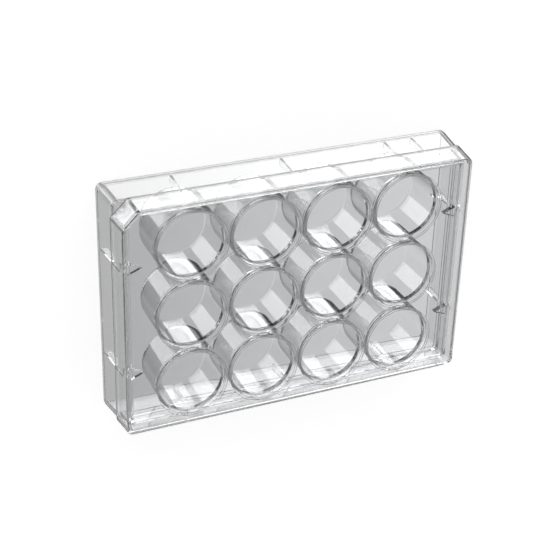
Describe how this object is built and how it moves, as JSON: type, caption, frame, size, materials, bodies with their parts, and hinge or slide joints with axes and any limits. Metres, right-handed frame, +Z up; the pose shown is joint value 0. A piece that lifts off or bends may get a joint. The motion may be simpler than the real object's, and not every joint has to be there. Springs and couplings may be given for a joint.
{
  "type": "cell culture well plate",
  "caption": "Clear plastic culture plate with a grid of round wells and a wide skirt, covered by its loose skirted lid with one cut corner.",
  "frame": {"origin": "centre of the footprint, on the surface that the plate stands on", "axes": "+X along the length, towards the last column of wells; +Y across the width, towards row A; +Z up, out of the wells"},
  "size_m": [0.1278, 0.0854, 0.023],
  "materials": {
    "plate": "clear polished polystyrene",
    "lid": "clear polished polystyrene"
  },
  "bodies": {
    "root": {"plate": "plate", "lid": "lid"}
  },
  "joints": []
}
